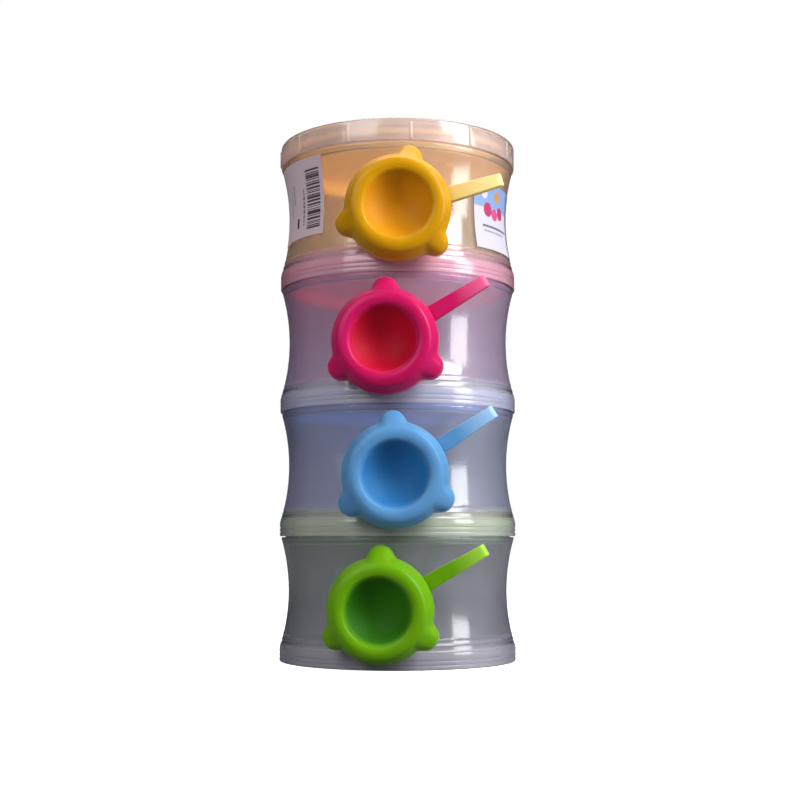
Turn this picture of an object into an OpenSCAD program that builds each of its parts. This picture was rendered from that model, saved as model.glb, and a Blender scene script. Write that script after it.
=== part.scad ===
// Stackable formula dispenser: four clear cups, each with a side spout, a coloured
// snap-in inner lid and a tethered spout cap, under one clear top lid.
// +Z is up. The origin is the centre of the open socket under the lowest cup.
// The spouts face -Y. Tier 0 is the lowest cup.

/* [Stack] */
// Height from one cup's lower edge to the next cup's lower edge
tier_pitch = 47.5; // [46.5:0.1:49]
// Outer radius of a cup at its lower rim
rim_r = 45.4; // [45.2:0.1:45.8]
// Outer radius of a cup at its waist
waist_r = 42; // [41.8:0.1:42.4]
// Wall thickness of the cups and of the top lid
wall = 1.4; // [1.2:0.1:1.5]
// Outer radius of the neck that stands on top of a cup
neck_r = 43.2; // [43:0.1:43.2]
// Radial gap between a neck and the socket that fits over it
neck_gap = 0.3; // [0.2:0.05:0.4]
// Height of the neck above the seam
neck_rise = 2.9; // [2.7:0.1:3]

/* [Spout] */
// Height of a spout's axis above its cup's lower edge
spout_z = 21.5; // [21.5:0.1:22]
// Radius of the pouring bore
bore_r = 13.4; // [12.5:0.1:13.4]
// Outer radius of the spout tube
tube_r = 15.4; // [15.2:0.1:15.6]
// Distance from the stack's axis to the spout's mouth
mouth_w = 52; // [51.5:0.1:52.5]

/* [Spout cap] */
// Outer radius of the cap's skirt
cap_r = 19; // [18.8:0.1:19.8]
// Depth of the cap from its rear edge to its front crest
cap_depth = 10; // [9.5:0.1:10.5]
// Radius of the front ring where it meets the flank
face_r = 16.7; // [16.4:0.1:17.2]
// Radial distance to the tip of a thumb lug
lug_reach = 23; // [22.2:0.1:23.4]

/* [Tether] */
// Distance from the spout's axis to the fold of the longest strap
strap_reach = 43; // [40:0.1:45]
// Strap width at the cap
strap_w = 5.6; // [4:0.1:6]
// Strap width at the fold
strap_tip_w = 4.4; // [3:0.1:5]
// Strap thickness
strap_t = 1.2; // [1:0.1:1.2]

/* [Top lid] */
// Height of the top lid
lid_h = 8.4; // [7:0.1:9]
// Number of grip ribs round the lid
rib_count = 12; // [6:1:24]

/* [Hidden] */
$fn = 96;

// One entry per tier, from the lowest up
tier_color = ["#7AB51D", "#6FA8DC", "#D81B60", "#E5B100"];
clear_plastic = [0.86, 0.88, 0.93, 0.45];
// Spout direction, in degrees from -Y, positive towards +X
spout_turn = [-7, -1, -5, 0];
// Direction of the strap, in degrees above the horizontal
strap_angle = [30, 33, 31, 16];
// How much nearer the spout each strap happens to fold
strap_short = [0, 1, 1, 4];
// Turn of the three lugs from one that points straight up
lug_turn = [0, 3, 0, -13];

eps = 0.01;
top_tier = len(tier_color) - 1;

// Cup: heights are above its own lower edge
seam_gap = 0.3;
body_h = tier_pitch - seam_gap;
waist_z = 27;
flare_z = 5.2;
flare = rim_r - waist_r;
// Radius of the arc that draws the waist between the two flares
waist_arc = (pow(waist_z - flare_z, 2) + pow(flare, 2)) / (2 * flare);
socket_r = neck_r + neck_gap;
floor_z = 6.6;
chamber_z = floor_z + wall;
chamber_fillet = 2;
// Inner radius of the wall where the floor fillet ends
fillet_r = waist_r - wall + pow(waist_z - chamber_z - chamber_fillet, 2) / (2 * waist_arc);
ring_depth = 0.25;
ring_h = 0.5;
ring_heights = [1.4, 3];

// Inner lid: heights are above the seam that it closes
lid_seat_gap = 0.05;
lid_seat = neck_rise + lid_seat_gap;
lid_panel = 1.2;
lid_edge_top = 5.1;
lid_edge_w = 1.8;
plug_gap = 0.2;
plug_r = neck_r - wall - plug_gap;
plug_wall = 1.2;
plug_drop = 1.6;
pull_bar = [24, 2.2];

// Spout: distances w run outwards along the spout, from the stack's axis
tube_start = 30;
bead_w = 47.9;
bead_out = 0.35;
collar_w = 46;
collar_t = 1.6;
collar_gap = 0.2;
collar_r = 18.2;
cap_w = 48;

// Cap: depths are measured forwards from its rear edge
groove_r = 17.6;
groove_depth = 5.6;
cap_plug_r = bore_r - 0.15;
cap_plug_start = 0.8;
// The flank slopes in from here to the front ring
flank_d = 4.6;
crest_r = 2.4;
crest_centre = [face_r - crest_r, cap_depth - crest_r];
flank_reach = [cap_r - crest_centre[0], flank_d - crest_centre[1]];
crest_turn = atan2(flank_reach[1], flank_reach[0]) + acos(crest_r / norm(flank_reach));
// Where the flank touches the rounded front
crest_touch = crest_centre + crest_r * [cos(crest_turn), sin(crest_turn)];
lip_r = 1.1;
mouth_r = 12;
dish_r = 11.5;
dish_edge = 7.8;
dish_middle = 2.2;
// Radius of the ball that the dish is a part of
dish_ball = (pow(dish_r, 2) + pow(dish_edge - dish_middle, 2)) / (2 * (dish_edge - dish_middle));
lug_r = 5;
lug_t = 3.5;

strap_front = cap_w + 0.6;
fold_r = (strap_front + strap_t - collar_w) / 2;
fold_w = collar_w + fold_r;
strap_gap = 0.1;

rib_r = 0.8;
rib_turn = 6;
rib_out = 0.4;
lid_edge_round = 1;
lid_panel_r = 39;
lid_panel_depth = 0.4;
label_t = 0.25;
label_bond = 0.02;
// Each label: first azimuth, last azimuth, lower height, upper height
left_label_place = [-84, -40, 16.5, 45.5];
right_label_place = [42, 84, 11.5, 36.5];

// Moves a shape to a tier's lower edge
module at_tier(tier) {
  translate([0, 0, tier * tier_pitch]) children();
}

// Turns x, y, z into sideways, up and outwards along a tier's spout
module at_spout(tier) {
  at_tier(tier)
    rotate([0, 0, spout_turn[tier]])
      translate([0, 0, spout_z])
        rotate([90, 0, 0]) children();
}

// Half outline of a cup with its neck, filled to the axis
module cup_outline() {
  difference() {
    union() {
      square([rim_r, body_h]);
      square([neck_r, tier_pitch + neck_rise]);
    }
    translate([waist_r + waist_arc, waist_z]) circle(r = waist_arc, $fn = 180);
    for (z = ring_heights)
      translate([rim_r - ring_depth, z]) square([1, ring_h]);
  }
}

// Half outline of the powder chamber and the neck's bore
module chamber_outline() {
  straight_z = chamber_z + chamber_fillet;
  difference() {
    translate([0, straight_z]) square([rim_r, body_h - wall - straight_z]);
    translate([waist_r + waist_arc, waist_z]) circle(r = waist_arc + wall, $fn = 180);
  }
  translate([0, chamber_z]) square([fillet_r - chamber_fillet, chamber_fillet + eps]);
  translate([fillet_r - chamber_fillet, straight_z]) circle(r = chamber_fillet);
  translate([0, body_h - wall - eps]) square([neck_r - wall, tier_pitch]);
}

module tier_cup(tier) {
  color(clear_plastic)
    difference() {
      union() {
        at_tier(tier) rotate_extrude() cup_outline();
        at_spout(tier) translate([0, 0, tube_start]) cylinder(r = tube_r, h = mouth_w - tube_start);
        at_spout(tier) translate([0, 0, bead_w]) rotate_extrude()
          translate([tube_r, 0]) circle(r = bead_out, $fn = 24);
      }
      at_tier(tier) rotate_extrude() chamber_outline();
      at_tier(tier) translate([0, 0, -eps]) cylinder(r = socket_r, h = floor_z + eps);
      at_spout(tier) translate([0, 0, tube_start]) cylinder(r = bore_r, h = mouth_w);
    }
}

// Half outline of an inner lid: panel, raised edge and plug ring
module inner_lid_outline() {
  translate([0, lid_seat]) square([neck_r, lid_panel]);
  translate([neck_r - lid_edge_w, lid_seat]) square([lid_edge_w, lid_edge_top - lid_seat]);
  translate([plug_r - plug_wall, -plug_drop]) square([plug_wall, lid_seat + plug_drop + eps]);
}

module inner_lid(tier) {
  color(tier_color[tier])
    at_tier(tier + 1) {
      rotate_extrude() inner_lid_outline();
      translate([-pull_bar[0] / 2, -pull_bar[1] / 2, lid_seat])
        cube([pull_bar[0], pull_bar[1], lid_edge_top - lid_seat]);
    }
}

// Half outline of a spout cap: a sloping flank, a rounded front ring and a round dish
module cap_outline() {
  lip_d = cap_depth - lip_r;
  lip_x = mouth_r + lip_r;
  difference() {
    union() {
      polygon([
        [0, 0], [cap_r, 0], [cap_r, flank_d], crest_touch, crest_centre, [crest_centre[0], cap_depth],
        [lip_x, cap_depth], [lip_x, lip_d], [0, lip_d]
      ]);
      translate(crest_centre) circle(r = crest_r);
      translate([lip_x, lip_d]) circle(r = lip_r, $fn = 48);
    }
    // dish in the front
    polygon([
      [0, cap_depth + 1], [mouth_r, cap_depth + 1], [mouth_r, lip_d], [dish_r, dish_edge], [0, dish_edge]
    ]);
    intersection() {
      translate([0, dish_middle + dish_ball]) circle(r = dish_ball);
      square([dish_r, dish_edge + eps]);
    }
    // groove that takes the spout's mouth
    translate([cap_plug_r, -1]) square([groove_r - cap_plug_r, groove_depth + 1]);
    // hollow back of the plug
    translate([0, -1]) square([cap_plug_r + eps, cap_plug_start + 1]);
  }
}

module spout_cap(tier) {
  color(tier_color[tier])
    at_spout(tier) translate([0, 0, cap_w]) {
      rotate_extrude() cap_outline();
      for (turn = [0, 120, 240])
        rotate([0, 0, 90 + turn + lug_turn[tier]])
          difference() {
            translate([lug_reach - lug_r, 0, 0]) cylinder(r = lug_r, h = lug_t);
            translate([0, 0, -1]) cylinder(r = (cap_r + groove_r) / 2, h = lug_t + 2);
          }
    }
}

module strap_collar(tier) {
  color(tier_color[tier])
    at_spout(tier) translate([0, 0, collar_w])
      difference() {
        cylinder(r = collar_r, h = collar_t);
        translate([0, 0, -1]) cylinder(r = tube_r + collar_gap, h = collar_t + 2);
      }
}

// Side outline of the folded strap: x outwards from the spout's axis, y along the spout
module strap_outline(reach) {
  fold_x = reach - fold_r;
  translate([collar_r - 1, collar_w]) square([fold_x - collar_r + 1, strap_t]);
  translate([cap_r + strap_gap, strap_front]) square([fold_x - cap_r - strap_gap, strap_t]);
  intersection() {
    translate([fold_x, fold_w]) difference() {
      circle(r = fold_r, $fn = 48);
      circle(r = fold_r - strap_t, $fn = 48);
    }
    translate([fold_x, collar_w - 1]) square([fold_r + 1, 2 * fold_r + 2]);
  }
}

module cap_strap(tier) {
  color(tier_color[tier])
    at_spout(tier) rotate([0, 0, strap_angle[tier]])
      intersection() {
        rotate([90, 0, 0]) linear_extrude(height = 2 * strap_w, center = true)
          strap_outline(strap_reach - strap_short[tier]);
        translate([0, 0, collar_w - 1]) linear_extrude(height = 2 * fold_r + 2)
          polygon([
            [0, strap_w / 2], [collar_r, strap_w / 2], [strap_reach + 1, strap_tip_w / 2],
            [strap_reach + 1, -strap_tip_w / 2], [collar_r, -strap_w / 2], [0, -strap_w / 2]
          ]);
      }
}

// Half outline of the top lid: a plate, a skirt and a rounded top edge
module top_lid_outline() {
  difference() {
    union() {
      square([rim_r, lid_h - lid_edge_round]);
      square([rim_r - lid_edge_round, lid_h]);
      translate([rim_r - lid_edge_round, lid_h - lid_edge_round]) circle(r = lid_edge_round);
    }
    translate([0, -1]) square([socket_r, lid_h - 1.2 + 1]);
    translate([0, lid_h - lid_panel_depth]) square([lid_panel_r, 1]);
  }
}

module top_lid() {
  color(clear_plastic)
    at_tier(top_tier + 1) {
      rotate_extrude() top_lid_outline();
      for (i = [0:rib_count - 1])
        rotate([0, 0, rib_turn - 90 + i * 360 / rib_count])
          translate([rim_r - rib_r + rib_out, 0, 0.4]) cylinder(r = rib_r, h = lid_h - 2);
    }
}

// Thin shell that lies on a cup's waist between two azimuths and two heights
module label(place) {
  at_tier(top_tier)
    rotate([0, 0, place[0] - 90])
      rotate_extrude(angle = place[1] - place[0])
        intersection() {
          translate([waist_r + waist_arc, waist_z]) difference() {
            circle(r = waist_arc + label_bond, $fn = 180);
            circle(r = waist_arc - label_t, $fn = 180);
          }
          translate([0, place[2]]) square([rim_r + 1, place[3] - place[2]]);
        }
}

module left_label() {
  color("#D8D8DE") label(left_label_place);
}

module right_label() {
  color("#A9C3E8") label(right_label_place);
}

tier_cup(0);  // green_tier_cup
inner_lid(0);  // green_inner_lid
spout_cap(0);  // green_spout_cap
cap_strap(0);  // green_cap_strap
strap_collar(0);  // green_strap_collar
tier_cup(1);  // blue_tier_cup
inner_lid(1);  // blue_inner_lid
spout_cap(1);  // blue_spout_cap
cap_strap(1);  // blue_cap_strap
strap_collar(1);  // blue_strap_collar
tier_cup(2);  // pink_tier_cup
inner_lid(2);  // pink_inner_lid
spout_cap(2);  // pink_spout_cap
cap_strap(2);  // pink_cap_strap
strap_collar(2);  // pink_strap_collar
tier_cup(3);  // yellow_tier_cup
inner_lid(3);  // yellow_inner_lid
spout_cap(3);  // yellow_spout_cap
cap_strap(3);  // yellow_cap_strap
strap_collar(3);  // yellow_strap_collar
top_lid();
left_label();
right_label();
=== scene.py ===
import math

import bpy
from mathutils import Matrix, Vector


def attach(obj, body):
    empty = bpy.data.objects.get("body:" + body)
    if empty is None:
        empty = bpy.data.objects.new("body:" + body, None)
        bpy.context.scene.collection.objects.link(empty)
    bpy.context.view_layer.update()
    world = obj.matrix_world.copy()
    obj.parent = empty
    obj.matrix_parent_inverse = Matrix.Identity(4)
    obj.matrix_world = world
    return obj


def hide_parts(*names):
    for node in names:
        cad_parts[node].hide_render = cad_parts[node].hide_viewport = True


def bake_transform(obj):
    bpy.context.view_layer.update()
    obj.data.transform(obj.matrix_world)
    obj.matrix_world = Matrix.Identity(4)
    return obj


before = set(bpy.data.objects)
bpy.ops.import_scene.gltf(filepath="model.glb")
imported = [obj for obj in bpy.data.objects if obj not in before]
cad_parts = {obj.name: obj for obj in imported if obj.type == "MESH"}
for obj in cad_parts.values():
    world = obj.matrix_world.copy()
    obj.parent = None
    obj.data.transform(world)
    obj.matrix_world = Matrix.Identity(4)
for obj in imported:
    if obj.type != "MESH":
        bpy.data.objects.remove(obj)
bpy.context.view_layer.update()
bpy.ops.object.select_all(action="DESELECT")
scene = bpy.context.scene

mm = 0.001
weldDistance = 0.002 * mm
colours = ["green", "blue", "pink", "yellow"]  # tiers from the lowest up
topTier = len(colours) - 1

stack = {
    "pitch": 47.5,  # from one cup's lower edge to the next, mm
    "spoutHeight": 21.5,  # spout axis above its cup's lower edge, mm
    "spoutTurn": [-7, -1, -5, 0],  # degrees from -Y, positive towards +X
    "lugTurn": [0, 3, 0, -13],  # degrees
    "strapAngle": [30, 33, 31, 16],  # degrees above the horizontal
    "strapReach": [43, 42, 42, 39],  # mm from the spout axis to the fold
    "highlightLength": [12, 14, 12, 34],  # mm of strap that gets the painted highlight, lightest at the fold
}


# small tools

def srgb(hexText):
    # sRGB hex value to a linear colour with alpha 1
    parts = [int(hexText[i:i + 2], 16) / 255 for i in (1, 3, 5)]
    return [c / 12.92 if c <= 0.04045 else ((c + 0.055) / 1.055) ** 2.4 for c in parts] + [1.0]


def addNode(tree, kind, settings=None, links=None):
    # one node with its properties, input values and incoming links
    node = tree.nodes.new("ShaderNode" + kind)
    for key, value in (settings or {}).items():
        if key in node.inputs.keys() or isinstance(key, int):
            node.inputs[key].default_value = value
        else:
            setattr(node, key, value)
    for key, socket in (links or {}).items():
        tree.links.new(socket, node.inputs[key])
    return node


def newMaterial(name):
    material = bpy.data.materials.new(name)
    material.use_nodes = True
    material.node_tree.nodes.clear()
    return material, material.node_tree


def selectOnly(ob):
    bpy.ops.object.select_all(action="DESELECT")
    ob.select_set(True)
    bpy.context.view_layer.objects.active = ob


def editMode(ob):
    selectOnly(ob)
    bpy.ops.object.mode_set(mode="EDIT")


def objectMode():
    bpy.ops.object.mode_set(mode="OBJECT")


def selectWhere(ob, test):
    # selects the vertices whose place passes the test, in edit mode
    objectMode()
    for edge in ob.data.edges:
        edge.select = False
    for face in ob.data.polygons:
        face.select = False
    for vertex in ob.data.vertices:
        vertex.select = bool(test(vertex.co))
    bpy.ops.object.mode_set(mode="EDIT")
    bpy.ops.mesh.select_mode(type="VERT")


def applyModifier(ob, kind, **settings):
    selectOnly(ob)
    modifier = ob.modifiers.new(kind.lower(), kind)
    for key, value in settings.items():
        setattr(modifier, key, value)
    bpy.ops.object.modifier_apply(modifier=modifier.name)


def combine(ob, tool, operation):
    # joins the tool to the object or cuts it out, and removes the tool
    applyModifier(ob, "BOOLEAN", object=tool, operation=operation, solver="EXACT")
    bpy.data.objects.remove(tool)


def roundOff(points, steps=4):
    # turns corners given as (r, z, radius) into short arcs
    result = []
    for i, point in enumerate(points):
        corner = Vector(point[:2])
        if len(point) < 3:
            result.append(corner)
            continue
        before = (Vector(points[i - 1][:2]) - corner).normalized()
        after = (Vector(points[(i + 1) % len(points)][:2]) - corner).normalized()
        half = before.angle(after) / 2
        reach = point[2] / math.tan(half)
        centre = corner + (before + after).normalized() * point[2] / math.sin(half)
        first, last = corner + before * reach - centre, corner + after * reach - centre
        sweep = first.angle_signed(last)
        count = steps if point[2] < 1.2 else steps * 2
        for k in range(count + 1):
            turned = Matrix.Rotation(-sweep * k / count, 2) @ first
            result.append(centre + turned)
    return result


def drawOutline(name, points):
    # one vertex, extruded from point to point in the XZ plane
    bpy.ops.object.select_all(action="DESELECT")
    start = points[0]
    bpy.ops.mesh.primitive_plane_add(size=mm, location=(start[0] * mm, 0, start[1] * mm))
    ob = bpy.context.object
    ob.name = name
    bpy.ops.object.transform_apply(location=True)
    editMode(ob)
    bpy.ops.mesh.select_mode(type="VERT")
    bpy.ops.mesh.select_all(action="SELECT")
    bpy.ops.mesh.merge(type="CENTER")
    for here, there in zip(points, points[1:]):
        step = ((there[0] - here[0]) * mm, 0, (there[1] - here[1]) * mm)
        bpy.ops.mesh.extrude_vertices_move(TRANSFORM_OT_translate={"value": step})
    return ob


def spinOutline(name, points, steps, turn=2 * math.pi, closed=False):
    # an outline turned about Z; a closed outline makes a ring
    ob = drawOutline(name, list(points) + ([points[0]] if closed else []))
    bpy.ops.mesh.select_all(action="SELECT")
    bpy.ops.mesh.spin(steps=steps, angle=turn, center=(0, 0, 0), axis=(0, 0, 1))
    bpy.ops.mesh.select_all(action="SELECT")
    bpy.ops.mesh.remove_doubles(threshold=weldDistance)
    bpy.ops.mesh.normals_make_consistent(inside=False)
    objectMode()
    return ob


def applyPlace(ob, matrix):
    # puts the mesh at its place and leaves the object at the origin
    selectOnly(ob)
    ob.matrix_world = matrix
    bpy.ops.object.transform_apply(location=True, rotation=True, scale=True)


def copyPiece(ob, name):
    copy = ob.copy()
    copy.data = ob.data.copy()
    copy.name = name
    scene.collection.objects.link(copy)
    return copy


def atTier(tier):
    return Matrix.Translation((0, 0, tier * stack["pitch"] * mm))


def alongSpout(tier):
    # local X sideways, Y up, Z outwards along the spout
    turn = Matrix.Rotation(math.radians(stack["spoutTurn"][tier]), 4, "Z")
    lift = Matrix.Translation((0, 0, stack["spoutHeight"] * mm))
    return atTier(tier) @ turn @ lift @ Matrix.Rotation(math.radians(90), 4, "X")


def finishPiece(ob, name, node, body, material, angle=30):
    ob.name = name
    ob.data.name = name
    selectOnly(ob)
    bpy.ops.object.shade_smooth_by_angle(angle=math.radians(angle))
    ob.data.materials.clear()
    ob.data.materials.append(material)
    if body:
        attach(ob, body)
    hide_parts(node)
    return ob


# camera, light, floor

view = {"distance": 0.540, "eyeHeight": 0.0476,  # metres
        "tilt": 3.0, "lens": 62.7, "shift": (0.003, 0.0788)}  # degrees, mm, share of the frame

bpy.ops.object.camera_add(location=(0, -view["distance"], view["eyeHeight"]),
                          rotation=(math.radians(90 + view["tilt"]), 0, 0))
camera = bpy.context.object
camera.data.lens = view["lens"]
camera.data.shift_x, camera.data.shift_y = view["shift"]
scene.camera = camera
scene.view_settings.view_transform = "Standard"
scene.cycles.max_bounces = 32
scene.cycles.transmission_bounces = 32
scene.cycles.transparent_max_bounces = 48

lamps = {
    # place, side in metres, power in watts
    "keyLamp": ((0.54, -0.36, 0.56), 0.34, 6.8),
    "sideLamp": ((0.80, -0.36, 0.30), 0.30, 3.4),
    "fillLamp": ((-0.55, -0.75, 0.62), 0.6, 5.6),
    "topLamp": ((0.05, 0.15, 0.9), 0.7, 6.0),
}
stackMiddle = Vector((0, 0, 0.1))
for lampName, (place, side, power) in lamps.items():
    aim = (stackMiddle - Vector(place)).to_track_quat("-Z", "Y").to_euler()
    bpy.ops.object.light_add(type="AREA", location=place, rotation=aim)
    lamp = bpy.context.object
    lamp.name = lampName
    lamp.data.size = side
    lamp.data.energy = power

surround = {"roomColour": (0.94, 0.94, 1.0, 1.0), "roomDark": 0.02, "roomBright": 0.08,
            "brightSide": (0.25, 0.65, 0.70), "floorGlow": 0.97,
            "floorSide": 6.0, "floorGap": 0.05}  # metres, mm

world = scene.world or bpy.data.worlds.new("studio")
scene.world = world
world.use_nodes = True
tree = world.node_tree
tree.nodes.clear()
# the room is brighter above and behind the stack than low in front of it
direction = addNode(tree, "TexCoord")
height = addNode(tree, "VectorMath", {"operation": "DOT_PRODUCT", 1: surround["brightSide"]},
                 {0: direction.outputs["Generated"]})
level = addNode(tree, "MapRange", {"From Min": -1.0, "From Max": 1.0, "To Min": surround["roomDark"],
                                   "To Max": surround["roomBright"]}, {"Value": height.outputs["Value"]})
lightPath = addNode(tree, "LightPath")
roomLight = addNode(tree, "Background", {"Color": surround["roomColour"]},
                    {"Strength": level.outputs["Result"]})
paperWhite = addNode(tree, "Background", {"Color": (1, 1, 1, 1)})
mixed = addNode(tree, "MixShader", None, {0: lightPath.outputs["Is Camera Ray"],
                                          1: roomLight.outputs[0], 2: paperWhite.outputs[0]})
addNode(tree, "OutputWorld", None, {"Surface": mixed.outputs[0]})

bpy.ops.mesh.primitive_plane_add(size=surround["floorSide"], location=(0, 0, -surround["floorGap"] * mm))
floor = bpy.context.object
floor.name = "floor"
material, tree = newMaterial("paperSweep")
lightPath = addNode(tree, "LightPath")
grain = addNode(tree, "TexNoise", {"Scale": 40.0, "Detail": 2.0})
tone = addNode(tree, "ValToRGB", None, {"Fac": grain.outputs["Fac"]})
tone.color_ramp.elements[0].color = srgb("#F2F2F2")
tone.color_ramp.elements[1].color = srgb("#F6F6F6")
paper = addNode(tree, "BsdfPrincipled", {"Roughness": 0.8, "Emission Color": (1, 1, 1, 1),
                                         "Emission Strength": surround["floorGlow"]},
                {"Base Color": tone.outputs["Color"]})
dimPaper = addNode(tree, "BsdfDiffuse", {"Color": srgb("#78787C")})
mixed = addNode(tree, "MixShader", None, {0: lightPath.outputs["Is Camera Ray"],
                                          1: dimPaper.outputs[0], 2: paper.outputs[0]})
addNode(tree, "OutputMaterial", None, {"Surface": mixed.outputs[0]})
floor.data.materials.append(material)
print("camera, lamps and floor are set")


# materials

def letLightIn(tree, shader, tint, volume=None):
    # clear plastic lets the lamps shine through it without caustics
    lightPath = addNode(tree, "LightPath")
    opening = addNode(tree, "BsdfTransparent", {"Color": tint})
    mixed = addNode(tree, "MixShader", None, {0: lightPath.outputs["Is Shadow Ray"],
                                              1: shader.outputs[0], 2: opening.outputs[0]})
    links = {"Surface": mixed.outputs[0]}
    if volume:
        links["Volume"] = volume.outputs[0]
    addNode(tree, "OutputMaterial", None, links)


def hazyPlastic(name, look):
    # injection-moulded random-copolymer polypropylene: clear but slightly milky, glossy,
    # with the faint waviness of a thin moulded wall
    material, tree = newMaterial(name)
    place = addNode(tree, "TexCoord")
    waves = addNode(tree, "TexNoise", {"Scale": 1 / (look["waveLength"] * mm), "Detail": 2.0,
                                       "Roughness": 0.4}, {"Vector": place.outputs["Object"]})
    bump = addNode(tree, "Bump", {"Strength": 0.25, "Distance": look["waveHeight"] * mm},
                   {"Height": waves.outputs["Fac"]})
    haze = addNode(tree, "MapRange", {"To Min": look["roughness"] * 0.8, "To Max": look["roughness"] * 1.2},
                   {"Value": waves.outputs["Fac"]})
    tone = addNode(tree, "ValToRGB", None, {"Fac": waves.outputs["Fac"]})
    tone.color_ramp.elements[0].color = srgb(look["haze"])
    tone.color_ramp.elements[1].color = srgb(look["hazeLight"])
    # thick parts, the skirt and the floor of each tier, are milkier than the thin wall
    axes = addNode(tree, "SeparateXYZ", None, {"Vector": place.outputs["Object"]})
    deepness = addNode(tree, "MapRange", {"From Min": (look["base"] + look["skirtEnd"]) * mm,
                                          "From Max": (look["base"] + look["wallStart"]) * mm},
                       {"Value": axes.outputs["Z"]})
    thin = addNode(tree, "MapRange", {"To Min": look["thickClear"], "To Max": look["clear"]},
                   {"Value": deepness.outputs["Result"]})
    # the thick skirt takes the skirt colour; on the cups this is painted light, the glow of the lid inside
    # it
    tone = addNode(tree, "Mix", {"data_type": "RGBA", 6: srgb(look["skirt"])},
                   {0: deepness.outputs["Result"], 7: tone.outputs["Color"]})
    # the milky look fades where the wall is seen edge on
    grazing = addNode(tree, "LayerWeight", {"Blend": 0.5})
    clearness = addNode(tree, "MapRange", {"From Min": 0.35, "From Max": 0.85, "To Max": look["edgeClear"]},
                        {"Value": grazing.outputs["Facing"], "To Min": thin.outputs["Result"]})
    shader = addNode(tree, "BsdfPrincipled", {"IOR": 1.49},
                     {"Base Color": tone.outputs[2], "Roughness": haze.outputs["Result"],
                      "Transmission Weight": clearness.outputs["Result"], "Normal": bump.outputs["Normal"]})
    volume = addNode(tree, "VolumeAbsorption", {"Color": srgb(look["depthColour"]),
                                                "Density": look["density"]})
    letLightIn(tree, shader, srgb(look["shadowTint"]), volume)
    return material


def softPlastic(name, look):
    # injection-moulded soft polypropylene or LDPE: satin gloss, a little light passes into it
    material, tree = newMaterial(name)
    place = addNode(tree, "TexCoord")
    grain = addNode(tree, "TexNoise", {"Scale": 1 / (0.5 * mm), "Detail": 3.0},
                    {"Vector": place.outputs["Object"]})  # real grain is finer than shows
    cloud = addNode(tree, "TexNoise", {"Scale": 1 / (14 * mm), "Detail": 2.0},
                    {"Vector": place.outputs["Object"]})
    bump = addNode(tree, "Bump", {"Strength": 0.08, "Distance": 0.05 * mm},
                   {"Height": grain.outputs["Fac"]})
    tone = addNode(tree, "ValToRGB", None, {"Fac": cloud.outputs["Fac"]})
    tone.color_ramp.elements[0].position, tone.color_ramp.elements[1].position = 0.35, 0.65
    tone.color_ramp.elements[0].color = srgb(look["deep"])
    tone.color_ramp.elements[1].color = srgb(look["base"])
    gloss = addNode(tree, "MapRange", {"To Min": look["roughness"] - 0.04,
                                       "To Max": look["roughness"] + 0.06},
                    {"Value": grain.outputs["Fac"]})
    # painted shade: the dish gets a darker, deeper colour than the ring, and its face is more matt than the
    # ring
    depth = addNode(tree, "Attribute", {"attribute_name": "dishPaintedShade"})
    gloss = addNode(tree, "Math", {"operation": "MULTIPLY_ADD", 1: 0.25},
                    {0: depth.outputs["Fac"], 2: gloss.outputs["Result"]})
    # painted highlight, paler towards the strap's fold
    litFoldEnd = addNode(tree, "Attribute", {"attribute_name": "foldPaintedHighlight"})
    colour = addNode(tree, "Mix", {"data_type": "RGBA", 7: srgb(look["highlightTint"])},
                     {0: litFoldEnd.outputs["Fac"], 6: tone.outputs["Color"]})
    colour = addNode(tree, "Mix", {"data_type": "RGBA", 7: srgb(look["dish"])},
                     {0: depth.outputs["Fac"], 6: colour.outputs[2]})
    shader = addNode(tree, "BsdfPrincipled", {"IOR": 1.5, "Specular IOR Level": 0.14,
                                              "Subsurface Weight": look["glow"],
                                              "Subsurface Radius": look["glowRadius"],
                                              "Subsurface Scale": 2.5 * mm, "Sheen Weight": 0.1,
                                              "Sheen Roughness": 0.4},
                     {"Base Color": colour.outputs[2], "Roughness": gloss.outputs[0],
                      "Normal": bump.outputs["Normal"]})
    addNode(tree, "OutputMaterial", None, {"Surface": shader.outputs[0]})
    return material


clearLook = {
    "base": 0.0, "skirtEnd": 7.5, "wallStart": 11.0,  # heights, the last two above the base, mm
    "waveLength": 9.0, "waveHeight": 0.05,  # mm
    "roughness": 0.14, "haze": "#C6C4D0", "hazeLight": "#D0CED9", "clear": 0.78, "thickClear": 0.48,
    "edgeClear": 0.97, "depthColour": "#9492A4", "density": 150.0, "shadowTint": "#F7F6FB",
}
topLook = dict(clearLook, haze="#CCBDBA", hazeLight="#D5C8C5", skirt="#CCBDBA", clear=0.62, thickClear=0.62,
               depthColour="#C0B4A8", density=90.0, shadowTint="#FAF7F8")
lidLooks = {
    "green": {"haze": "#A0D858", "hazeLight": "#AAE064", "depthColour": "#B0D878", "shadowTint": "#D4EEA8"},
    "blue": {"haze": "#94C0EC", "hazeLight": "#9EC8F0", "depthColour": "#B0CAEA", "shadowTint": "#C8DEF6"},
    "pink": {"haze": "#F45C92", "hazeLight": "#F8689C", "depthColour": "#E8709C", "shadowTint": "#F6AECA"},
    "yellow": {"haze": "#FCEEAC", "hazeLight": "#FCF0B4", "depthColour": "#FFEAA4", "shadowTint": "#FFEA9C"},
}
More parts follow.
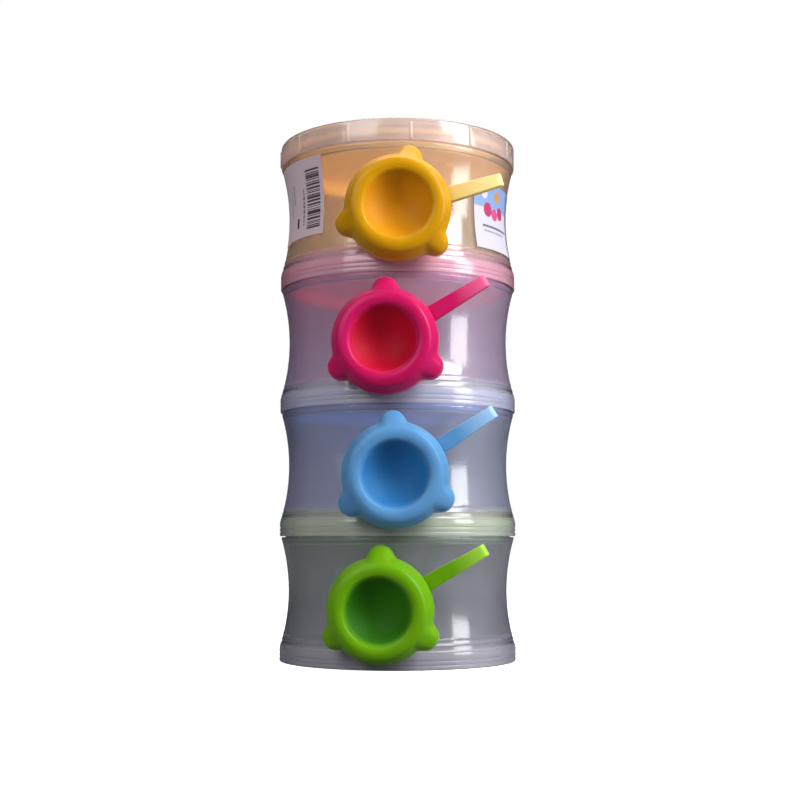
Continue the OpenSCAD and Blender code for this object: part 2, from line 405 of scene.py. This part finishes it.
# the dish colour is painted shade inside each cap's dish
# the pale colour is a painted highlight on each strap's fold end
softLooks = {
    "green": {"base": "#6AA204", "deep": "#629A00", "highlightTint": "#A8D84A", "dish": "#266800",
              "glowRadius": (0.3, 1.0, 0.1)},
    "blue": {"base": "#5A92C2", "deep": "#528ABA", "highlightTint": "#A8CFF2", "dish": "#246CA6",
             "glowRadius": (0.2, 0.5, 1.0)},
    "pink": {"base": "#C41460", "deep": "#BA0A54", "highlightTint": "#EE6E9C", "dish": "#B40026",
             "glowRadius": (1.0, 0.2, 0.3)},
    "yellow": {"base": "#C69000", "deep": "#BE8800", "highlightTint": "#F6ECA8", "dish": "#C88400",
               "glowRadius": (1.0, 0.7, 0.1)},
}
# painted light: each cup's colours take the coloured glow of the lids round it, with painted shade on the
# lowest tier: haze, lighter haze, skirt
cupHazeWithPaintedLight = {"green": ("#B8B8C0", "#C2C2C9", "#BCBAC2"), "blue": ("#C6C9D8", "#CED1E0", "#C8CCC0"),
           "pink": ("#D2C4D8", "#DACEE0", "#CCCCDA"), "yellow": ("#DCC8B2", "#E2D2C0", "#E2B8C6")}
clearCup = {c: hazyPlastic(c + "TierClearPolypropylene",
                           dict(clearLook, haze=haze[0], hazeLight=haze[1], skirt=haze[2],
                                base=colours.index(c) * stack["pitch"]))
            for c, haze in cupHazeWithPaintedLight.items()}
clearTop = hazyPlastic("clearPolypropyleneLid", topLook)
lidPlastic = {c: hazyPlastic(c + "TintedPolypropylene",
                             dict(clearLook, skirt=look["haze"], clear=0.30, thickClear=0.30,
                                  edgeClear=0.42, roughness=0.25, **look))
              for c, look in lidLooks.items()}
capPlastic = {c: softPlastic(c + "SoftPolypropylene", dict(look, roughness=0.33, glow=0.35))
              for c, look in softLooks.items()}
print("materials are made")


# clear cups

cupSize = {
    "rim": 45.4, "waist": 42.0, "neck": 43.2, "socket": 43.5, "wall": 1.4,  # radii and wall, mm
    "waistHeight": 27.0, "flareTop": 5.2, "shoulder": 47.2, "neckTop": 50.4,  # heights, mm
    "floorUnder": 6.6, "floorTop": 8.0, "floorFillet": 1.8, "filletRise": 2.0, "chamberTop": 45.8,
    "tubeRadius": 15.4, "boreRadius": 13.4, "tubeStart": 30, "mouth": 52.0, "boreEnd": 60,  # from the axis
    "beadPlace": 47.9, "beadOut": 0.35,
    "grooves": [1.4, 3.0], "grooveDepth": 0.25, "grooveHeight": 0.5,
    "ridges": [6.4, 8.6, 10.6], "ridgeOut": 0.14, "ridgeHeight": 0.7,
    "around": 160, "arcPoints": 26,
}


def waistCurve(fromHeight, toHeight, inset, count):
    # points of the concave wall, at the given distance inside the outer face
    s = cupSize
    flare = s["rim"] - s["waist"]
    arc = ((s["waistHeight"] - s["flareTop"]) ** 2 + flare ** 2) / (2 * flare)
    points = []
    for i in range(count + 1):
        z = fromHeight + (toHeight - fromHeight) * i / count
        reach = math.sqrt((arc + inset) ** 2 - (z - s["waistHeight"]) ** 2)
        points.append((s["waist"] + arc - reach, z))
    return points


def cupSolid():
    s = cupSize
    outline = [(0, s["floorUnder"]), (s["socket"], s["floorUnder"], 0.6),
               (s["socket"], 0, 0.25), (s["rim"], 0, 0.5)]
    for z in s["grooves"]:
        deep = s["rim"] - s["grooveDepth"]
        outline += [(s["rim"], z, 0.1), (deep, z, 0.1),
                    (deep, z + s["grooveHeight"], 0.1), (s["rim"], z + s["grooveHeight"], 0.1)]
    # the wall's own points make way for those of the ridges
    halfRidge = s["ridgeHeight"] / 2 - 0.001
    wallPoints = [p for p in waistCurve(s["flareTop"], s["shoulder"], 0, s["arcPoints"])
                  if all(abs(p[1] - z) >= halfRidge for z in s["ridges"])]
    for z in s["ridges"]:
        for k in range(-4, 5):
            height = z + k * s["ridgeHeight"] / 8
            r = waistCurve(height, height + 1, 0, 1)[0][0]
            wallPoints.append((r + s["ridgeOut"] * math.cos(k * math.pi / 8) ** 2, height))
    wallPoints.sort(key=lambda p: p[1])
    top = wallPoints.pop()
    outline += wallPoints + [(top[0], top[1], 0.5), (s["neck"], s["shoulder"], 0.15),
                             (s["neck"], s["neckTop"], 0.4), (0, s["neckTop"])]
    return spinOutline("cupSolid", roundOff(outline), s["around"])


def chamberSolid():
    s = cupSize
    inner = waistCurve(s["floorTop"] + s["filletRise"], s["chamberTop"], s["wall"], s["arcPoints"])
    neckBore = s["neck"] - s["wall"]
    low, top = inner[0], inner[-1]
    fillet = (low[0] - 0.15, s["floorTop"], s["floorFillet"])
    outline = [(0, s["floorTop"]), fillet] + inner[:-1]
    outline += [(top[0], top[1], 0.8), (neckBore, s["chamberTop"], 0.4), (neckBore, s["neckTop"] - 0.4),
                (neckBore + 0.5, s["neckTop"] + 0.3), (neckBore + 0.5, s["neckTop"] + 2),
                (0, s["neckTop"] + 2)]
    return spinOutline("chamberSolid", roundOff(outline), s["around"])


def spoutSolids():
    s = cupSize
    bead = [(s["tubeRadius"] + s["beadOut"] * math.cos(math.radians(a)),
             s["beadPlace"] + s["beadOut"] * math.sin(math.radians(a))) for a in range(-90, 91, 30)]
    start, end = s["tubeStart"], s["boreEnd"]
    tube = [(0, start), (s["tubeRadius"], start)] + bead
    tube += [(s["tubeRadius"], s["mouth"], 0.5), (0, s["mouth"])]
    bore = [(0, start), (s["boreRadius"], start), (s["boreRadius"], s["mouth"] - 0.5),
            (s["boreRadius"] + 0.6, s["mouth"] + 0.1), (s["boreRadius"] + 0.6, end), (0, end)]
    place = Matrix.Translation((0, 0, stack["spoutHeight"] * mm)) @ Matrix.Rotation(math.radians(90), 4, "X")
    solids = []
    for name, outline in (("tubeSolid", tube), ("boreSolid", bore)):
        solid = spinOutline(name, roundOff(outline), 96)
        applyPlace(solid, place)
        solids.append(solid)
    return solids


firstCup = cupSolid()
tube, bore = spoutSolids()
combine(firstCup, tube, "UNION")
combine(firstCup, chamberSolid(), "DIFFERENCE")
combine(firstCup, bore, "DIFFERENCE")
for tier, c in enumerate(colours):
    cup = copyPiece(firstCup, f"{c}Cup")
    applyPlace(cup, atTier(tier) @ Matrix.Rotation(math.radians(stack["spoutTurn"][tier]), 4, "Z"))
    finishPiece(cup, f"{c}Cup", f"{c}_tier_cup", f"{c}_cup", clearCup[c])
bpy.data.objects.remove(firstCup)
print("clear cups are made")


# tinted inner lids

lidSize = {
    "panelUnder": 2.95, "panelTop": 4.15, "edgeTop": 5.1, "edgeWidth": 1.8,  # heights above the seam, mm
    "outer": 43.2, "plugOuter": 41.6, "plugInner": 40.4, "plugEnd": -1.6,
    "barLength": 24.0, "barWidth": 2.2, "around": 128,
}


def lidSolid():
    s = lidSize
    outline = [(0, s["panelUnder"]), (s["plugInner"], s["panelUnder"], 0.4),
               (s["plugInner"], s["plugEnd"], 0.3), (s["plugOuter"], s["plugEnd"], 0.5),
               (s["plugOuter"], s["panelUnder"], 0.15),
               (s["outer"], s["panelUnder"], 0.3), (s["outer"], s["edgeTop"], 0.6),
               (s["outer"] - s["edgeWidth"], s["edgeTop"], 0.5),
               (s["outer"] - s["edgeWidth"], s["panelTop"], 0.4), (0, s["panelTop"])]
    lid = spinOutline("lidSolid", roundOff(outline), s["around"])
    barLow = s["panelTop"] - 0.5
    bpy.ops.object.select_all(action="DESELECT")
    bpy.ops.mesh.primitive_cube_add(size=1, location=(0, 0, (barLow + s["edgeTop"]) / 2 * mm),
                                    scale=(s["barLength"] * mm, s["barWidth"] * mm,
                                           (s["edgeTop"] - barLow) * mm))
    bar = bpy.context.object
    bpy.ops.object.transform_apply(location=True, rotation=True, scale=True)
    applyModifier(bar, "BEVEL", width=0.42 * mm, segments=3)
    combine(lid, bar, "UNION")
    return lid


firstLid = lidSolid()
for tier, c in enumerate(colours):
    lid = copyPiece(firstLid, f"{c}InnerLid")
    applyPlace(lid, atTier(tier + 1))
    finishPiece(lid, f"{c}InnerLid", f"{c}_inner_lid", f"{c}_inner_lid", lidPlastic[c])
bpy.data.objects.remove(firstLid)
print("inner lids are made")


# top lid

topSize = {
    "height": 8.4, "rim": 45.4, "socket": 43.5, "plateUnder": 7.2, "edgeRadius": 1.0,  # mm
    "panelRadius": 39.0, "panelDepth": 0.4,
    "ribCount": 12, "ribTurn": 6, "ribRadius": 0.8, "ribPlace": 45.0, "ribLow": 0.4, "ribHeight": 6.4,
    "around": 180,
}


def topLidSolid():
    s = topSize
    outline = [(0, s["plateUnder"]), (s["socket"], s["plateUnder"], 0.8), (s["socket"], 0, 0.25),
               (s["rim"], 0, 0.4), (s["rim"], s["height"], s["edgeRadius"]),
               (s["panelRadius"] + 0.5, s["height"], 0.3),
               (s["panelRadius"], s["height"] - s["panelDepth"], 0.3), (0, s["height"] - s["panelDepth"])]
    lid = spinOutline("topLidSolid", roundOff(outline), s["around"])
    bpy.ops.object.select_all(action="DESELECT")
    bpy.ops.mesh.primitive_cylinder_add(vertices=20, radius=s["ribRadius"] * mm, depth=s["ribHeight"] * mm,
                                        location=(0, 0, (s["ribLow"] + s["ribHeight"] / 2) * mm))
    rib = bpy.context.object
    bpy.ops.object.transform_apply(location=True)
    applyModifier(rib, "BEVEL", width=0.3 * mm, segments=3, limit_method="ANGLE",
                  angle_limit=math.radians(60))
    for i in range(s["ribCount"]):
        turn = math.radians(s["ribTurn"] - 90 + i * 360 / s["ribCount"])
        oneRib = copyPiece(rib, "oneRib")
        applyPlace(oneRib, Matrix.Rotation(turn, 4, "Z") @ Matrix.Translation((s["ribPlace"] * mm, 0, 0)))
        combine(lid, oneRib, "UNION")
    bpy.data.objects.remove(rib)
    return lid


topLid = topLidSolid()
applyPlace(topLid, atTier(topTier + 1))
finishPiece(topLid, "topLid", "top_lid", "top_lid", clearTop)
print("top lid is made")


# spout caps

capSize = {
    "place": 48.0, "depth": 10.0, "outer": 19.0, "lip": 1.7, "mouth": 12.0,  # mm
    "flankFrom": 4.6, "faceRadius": 16.7, "crownSide": 9.4, "crownRadius": 14.5, "crown": 0.2,
    "dishRadius": 11.5, "dishEdge": 7.8, "dishMiddle": 2.2, "dishSteps": 14,
    "fadeOutside": 0.8, "shadeFade": 2.2,
    "grooveOuter": 17.6, "grooveInner": 13.25, "grooveDepth": 5.6, "plugStart": 0.8,
    "lugReach": 23.0, "lugHalfWidth": 0.5, "lugDepth": 2.4, "lugFlank": 4.6, "lugFoot": 2,
    "skirtDepth": 1.2, "skinDepth": 0.6, "skirtTop": 6.3, "around": 240,
}


def capSolid():
    s = capSize
    outline = [(0, s["plugStart"]), (s["grooveInner"], s["plugStart"], 0.8),
               (s["grooveInner"], s["grooveDepth"], 0.4), (s["grooveOuter"], s["grooveDepth"], 0.4),
               (s["grooveOuter"], 0, 0.3), (s["outer"], 0, 0.5)]
    outline += [(s["outer"], d * 0.5) for d in range(2, 7)]
    outline += [(s["outer"], s["flankFrom"], 1.6), (s["faceRadius"], s["crownSide"], 2.2),
                (s["crownRadius"], s["depth"] + s["crown"], 4.0),
                (s["mouth"], s["crownSide"] + 0.3, s["lip"]), (s["dishRadius"], s["dishEdge"], 1.7)]
    # the dish is a part of a ball
    deep = s["dishEdge"] - s["dishMiddle"]
    ball = (s["dishRadius"] ** 2 + deep ** 2) / (2 * deep)
    for k in reversed(range(s["dishSteps"])):
        r = s["dishRadius"] * k / s["dishSteps"]
        outline.append((r, s["dishMiddle"] + ball - math.sqrt(ball ** 2 - r ** 2)))
    return spinOutline("capSolid", roundOff(outline, 5), s["around"])


def pullLugs(cap, lugTurn):
    # three thumb lugs drawn out of the skirt, with soft flanks
    s = capSize
    for turn in (90, 210, 330):
        angle = math.radians(turn + lugTurn)
        outwards = Vector((math.cos(angle), math.sin(angle), 0))
        editMode(cap)
        bpy.ops.mesh.reveal(select=False)
        # only the outer skirt stays in reach of the pull
        selectWhere(cap, lambda co: co.xy.length > (s["outer"] - s["skirtDepth"]) * mm
                    and co.z < s["skirtTop"] * mm)
        bpy.ops.mesh.hide(unselected=True)
        bpy.ops.mesh.select_all(action="DESELECT")
        selectWhere(cap, lambda co: co.xy.length > (s["outer"] - s["skinDepth"]) * mm
                    and co.z < s["lugDepth"] * mm and co.xy.dot(outwards.xy) > 0
                    and abs(co.x * outwards.y - co.y * outwards.x) < s["lugHalfWidth"] * mm)
        pull = outwards * (s["lugReach"] - s["outer"]) * mm
        bpy.ops.transform.translate(value=pull, use_proportional_edit=True,
                                    proportional_edit_falloff="SPHERE",
                                    proportional_size=s["lugFlank"] * mm)
        # the lug's foot runs softly into the skirt
        bpy.ops.mesh.select_all(action="DESELECT")
        selectWhere(cap, lambda co: co.xy.length > (s["outer"] - s["skinDepth"]) * mm
                    and co.z < s["skirtTop"] * mm and co.xy.dot(outwards.xy) > 0
                    and abs(co.x * outwards.y - co.y * outwards.x) < (s["lugFlank"] + s["lugFoot"]) * mm)
        bpy.ops.mesh.vertices_smooth(factor=0.5, repeat=6)
        bpy.ops.mesh.reveal(select=False)
        objectMode()


def paintDishShade(cap):
    # painted shade: 1 inside the dish, fading to 0 over its lip, and 0 on the ring and the skirt
    s = capSize
    layer = cap.data.attributes.new("dishPaintedShade", "FLOAT", "POINT")
    for i, vertex in enumerate(cap.data.vertices):
        if vertex.co.z > (s["dishMiddle"] - 0.1) * mm:
            nearness = (s["mouth"] + s["fadeOutside"] - vertex.co.xy.length / mm) / s["shadeFade"]
            layer.data[i].value = min(max(nearness, 0), 1)


firstCap = capSolid()
paintDishShade(firstCap)
for tier, c in enumerate(colours):
    cap = copyPiece(firstCap, f"{c}SpoutCap")
    pullLugs(cap, stack["lugTurn"][tier])
    applyPlace(cap, alongSpout(tier) @ Matrix.Translation((0, 0, capSize["place"] * mm)))
    finishPiece(cap, f"{c}SpoutCap", f"{c}_spout_cap", f"{c}_cap", capPlastic[c])
bpy.data.objects.remove(firstCap)
print("spout caps are made")


# collars and folded straps

strapSize = {
    "collarPlace": 46.0, "collarThickness": 1.6, "collarInner": 15.6, "collarOuter": 18.2,  # mm
    "rearMiddle": 46.6, "frontMiddle": 49.2, "thickness": 1.2, "width": 5.6, "tipWidth": 4.4,
    "rearStart": 17.0, "frontEnd": 18.6, "foldSteps": 12, "limbCuts": 15, "brightestHighlight": 0.8, "around": 128,
}


def collarSolid():
    s = strapSize
    low, high = s["collarPlace"], s["collarPlace"] + s["collarThickness"]
    outline = [(s["collarInner"], low, 0.2), (s["collarOuter"], low, 0.4),
               (s["collarOuter"], high, 0.4), (s["collarInner"], high, 0.2)]
    return spinOutline("collarSolid", roundOff(outline), s["around"], closed=True)


def strapRibbon(tier):
    # a flat ribbon out from the collar, round the fold and back to the cap
    s = strapSize
    bend = (s["frontMiddle"] - s["rearMiddle"]) / 2
    foldX = stack["strapReach"][tier] - bend - s["thickness"] / 2
    middle = s["rearMiddle"] + bend
    path = [(s["rearStart"], s["rearMiddle"])]
    for k in range(s["foldSteps"] + 1):
        a = math.pi * (k / s["foldSteps"] - 0.5)
        path.append((foldX + bend * math.cos(a), middle + bend * math.sin(a)))
    path.append((s["frontEnd"], s["frontMiddle"]))
    strap = drawOutline("strapRibbon", path)
    bpy.ops.mesh.select_all(action="SELECT")
    bpy.ops.mesh.extrude_region_move(TRANSFORM_OT_translate={"value": (0, s["width"] * mm, 0)})
    bpy.ops.mesh.select_all(action="SELECT")
    bpy.ops.transform.translate(value=(0, -s["width"] / 2 * mm, 0))
    selectWhere(strap, lambda co: co.x > (foldX - 0.1) * mm)
    bpy.ops.transform.resize(value=(1, s["tipWidth"] / s["width"], 1), center_override=(0, 0, 0))
    # rows along the two limbs, whose edges are the only long ones
    selectWhere(strap, lambda co: co.x < (foldX + 0.1) * mm)
    bpy.ops.mesh.select_mode(type="EDGE")
    objectMode()
    for edge in strap.data.edges:
        a, b = (strap.data.vertices[i].co for i in edge.vertices)
        edge.select = abs(a.x - b.x) > 8 * mm
    bpy.ops.object.mode_set(mode="EDIT")
    bpy.ops.mesh.subdivide(number_cuts=s["limbCuts"])
    bpy.ops.mesh.select_all(action="SELECT")
    bpy.ops.mesh.normals_make_consistent(inside=False)
    objectMode()
    applyModifier(strap, "SOLIDIFY", thickness=s["thickness"] * mm, offset=0)
    applyModifier(strap, "BEVEL", width=0.32 * mm, segments=3, limit_method="ANGLE",
                  angle_limit=math.radians(50))
    return strap, foldX


def paintFoldHighlight(strap, foldX, highlightLength):
    # painted highlight: the strap turns paler towards the fold, where its outer end catches the light
    layer = strap.data.attributes.new("foldPaintedHighlight", "FLOAT", "POINT")
    for i, vertex in enumerate(strap.data.vertices):
        nearness = (vertex.co.x / mm - (foldX - highlightLength)) / highlightLength
        layer.data[i].value = strapSize["brightestHighlight"] * min(max(nearness, 0), 1)


firstCollar = collarSolid()
for tier, c in enumerate(colours):
    collar = copyPiece(firstCollar, f"{c}StrapCollar")
    applyPlace(collar, alongSpout(tier))
    finishPiece(collar, f"{c}StrapCollar", f"{c}_strap_collar", f"{c}_collar", capPlastic[c])
    strap, foldX = strapRibbon(tier)
    paintFoldHighlight(strap, foldX, stack["highlightLength"][tier])
    applyPlace(strap, alongSpout(tier) @ Matrix.Rotation(math.radians(stack["strapAngle"][tier]), 4, "Z"))
    finishPiece(strap, f"{c}CapStrap", f"{c}_cap_strap", None, capPlastic[c], angle=40)
    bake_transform(strap)
bpy.data.objects.remove(firstCollar)
print("collars and straps are made")


# stickers

stickers = {
    # azimuths from the spout side in degrees, heights above the cup's edge in mm
    "leftSticker": {"node": "left_label", "slot": "paper_label",
                    "from": -84, "to": -40, "low": 16.5, "high": 45.5},
    "rightSticker": {"node": "right_label", "slot": "film_label",
                     "from": 42, "to": 84, "low": 11.5, "high": 36.5},
}
sheetSize = {"thickness": 0.15, "gap": 0.05, "rows": 24, "columns": 40}  # mm, and counts
mmPerDegree = 0.74  # round the wall under the stickers


def stickerSheet(name, place):
    # a piece of the waist curve, spun through the sticker's own angle
    edge = waistCurve(place["low"], place["high"], -sheetSize["gap"], sheetSize["rows"])
    return spinOutline(name, edge, sheetSize["columns"], math.radians(place["from"] - place["to"]))


def stickerPrint(name, paperLook):
    # printed paper or film sticker: matt or satin, with plain bars and dots instead of lettering
    material, tree = newMaterial(name)
    place = addNode(tree, "TexCoord")
    axes = addNode(tree, "SeparateXYZ", None, {"Vector": place.outputs["Object"]})
    away = addNode(tree, "Math", {"operation": "MULTIPLY", 1: -1.0}, {0: axes.outputs["Y"]})
    azimuth = addNode(tree, "Math", {"operation": "ARCTAN2"}, {0: axes.outputs["X"], 1: away.outputs[0]})
    angle = addNode(tree, "Math", {"operation": "MULTIPLY", 1: 180 / math.pi}, {0: azimuth.outputs[0]})
    height = addNode(tree, "Math", {"operation": "MULTIPLY_ADD", 1: 1 / mm, 2: -topTier * stack["pitch"]},
                     {0: axes.outputs["Z"]})
    fibre = addNode(tree, "TexNoise", {"Scale": 1 / (0.8 * mm), "Detail": 4.0},
                    {"Vector": place.outputs["Object"]})
    bump = addNode(tree, "Bump", {"Strength": paperLook["relief"], "Distance": 0.03 * mm},
                   {"Height": fibre.outputs["Fac"]})
    tone = addNode(tree, "ValToRGB", None, {"Fac": fibre.outputs["Fac"]})
    tone.color_ramp.elements[0].color = srgb(paperLook["paperDark"])
    tone.color_ramp.elements[1].color = srgb(paperLook["paper"])
    colour = tone.outputs["Color"]

    def inside(socket, centre, half):
        return addNode(tree, "Math", {"operation": "COMPARE", 1: centre, 2: half}, {0: socket}).outputs[0]

    def both(a, b):
        return addNode(tree, "Math", {"operation": "MULTIPLY"}, {0: a, 1: b}).outputs[0]

    def over(mask, ink):
        layer = addNode(tree, "Mix", {"data_type": "RGBA"})
        tree.links.new(mask, layer.inputs[0])
        tree.links.new(colour, layer.inputs[6])
        layer.inputs[7].default_value = srgb(ink)
        return layer.outputs[2]

    for azimuthAt, azimuthHalf, heightAt, heightHalf, ink in paperLook["blocks"]:
        colour = over(both(inside(angle.outputs[0], azimuthAt, azimuthHalf),
                           inside(height.outputs[0], heightAt, heightHalf)), ink)
    for azimuthAt, heightAt, radius, ink in paperLook["dots"]:
        across = addNode(tree, "Math", {"operation": "SUBTRACT", 1: azimuthAt}, {0: angle.outputs[0]})
        across = addNode(tree, "Math", {"operation": "MULTIPLY", 1: mmPerDegree}, {0: across.outputs[0]})
        up = addNode(tree, "Math", {"operation": "SUBTRACT", 1: heightAt}, {0: height.outputs[0]})
        spot = addNode(tree, "CombineXYZ", None, {"X": across.outputs[0], "Y": up.outputs[0]})
        reach = addNode(tree, "VectorMath", {"operation": "LENGTH"}, {0: spot.outputs[0]})
        mask = addNode(tree, "Math", {"operation": "LESS_THAN", 1: radius}, {0: reach.outputs["Value"]})
        colour = over(mask.outputs[0], ink)
    for bars in paperLook["bars"]:
        # irregular level bars in one column: noise along the height, cut at a level
        row = addNode(tree, "TexNoise", {"noise_dimensions": "1D", "Scale": bars["perMm"], "Detail": 0.0},
                      {"W": height.outputs[0]})
        line = addNode(tree, "Math", {"operation": "GREATER_THAN", 1: 0.48}, {0: row.outputs["Fac"]})
        column = both(inside(angle.outputs[0], bars["place"], bars["half"]),
                      inside(height.outputs[0], bars["middle"], bars["reach"]))
        colour = over(both(line.outputs[0], column), bars["ink"])
    shader = addNode(tree, "BsdfPrincipled", {"Roughness": paperLook["roughness"], "IOR": 1.47},
                     {"Base Color": colour, "Normal": bump.outputs["Normal"]})
    addNode(tree, "OutputMaterial", None, {"Surface": shader.outputs[0]})
    return material


# blocks: azimuth and half width in degrees, height and half height in mm, ink
# dots: azimuth in degrees, height and radius in mm, ink
stickerLooks = {
    "leftSticker": {"paper": "#D4BFC9", "paperDark": "#CAB5BF", "relief": 0.3, "roughness": 0.55,
                    # the last left block, a dark strip the whole height of the sticker's left edge, is
                    # painted shade where it turns away from the light
                    "blocks": [(-61.8, 1.1, 22.6, 1.9, "#2A2230"), (-66.5, 0.8, 34.0, 3.6, "#A4949E"),
                               (-70.0, 0.6, 31.0, 5.0, "#A4949E"), (-82.5, 1.6, 31.0, 14.6, "#6E6270")],
                    "dots": [],
                    "bars": [{"perMm": 1.5, "place": -47.6, "half": 5.2, "middle": 30.3, "reach": 11.0,
                              "ink": "#463848"},
                             {"perMm": 2.2, "place": -55.9, "half": 0.8, "middle": 28.1, "reach": 6.9,
                              "ink": "#5A4C5C"}]},
    "rightSticker": {"paper": "#C6C2CE", "paperDark": "#C0BCC8", "relief": 0.1, "roughness": 0.4,
                     "blocks": [(60.0, 19.0, 32.0, 4.5, "#7E9ACA"), (61.0, 13.0, 20.5, 0.45, "#6E6A7C"),
                                (59.0, 10.0, 18.6, 0.3, "#8E8A9A"), (80.0, 4.1, 24.0, 12.6, "#6E6878")],
                     "dots": [(53.0, 26.8, 2.7, "#B03466"), (59.5, 25.6, 2.3, "#BC4E7C"),
                              (66.0, 26.8, 2.5, "#B03466"), (62.0, 32.5, 2.2, "#C08850"),
                              (50.0, 32.4, 1.7, "#CFC6D4")],
                     "bars": []},
}
for name, place in stickers.items():
    sheet = stickerSheet(name, place)
    applyPlace(sheet, atTier(topTier) @ Matrix.Rotation(math.radians(place["from"] - 90), 4, "Z"))
    applyModifier(sheet, "SOLIDIFY", thickness=sheetSize["thickness"] * mm, offset=1)
    finishPiece(sheet, name, place["node"], "yellow_cup",
                stickerPrint(name + "Print", stickerLooks[name]))
print("stickers are made")
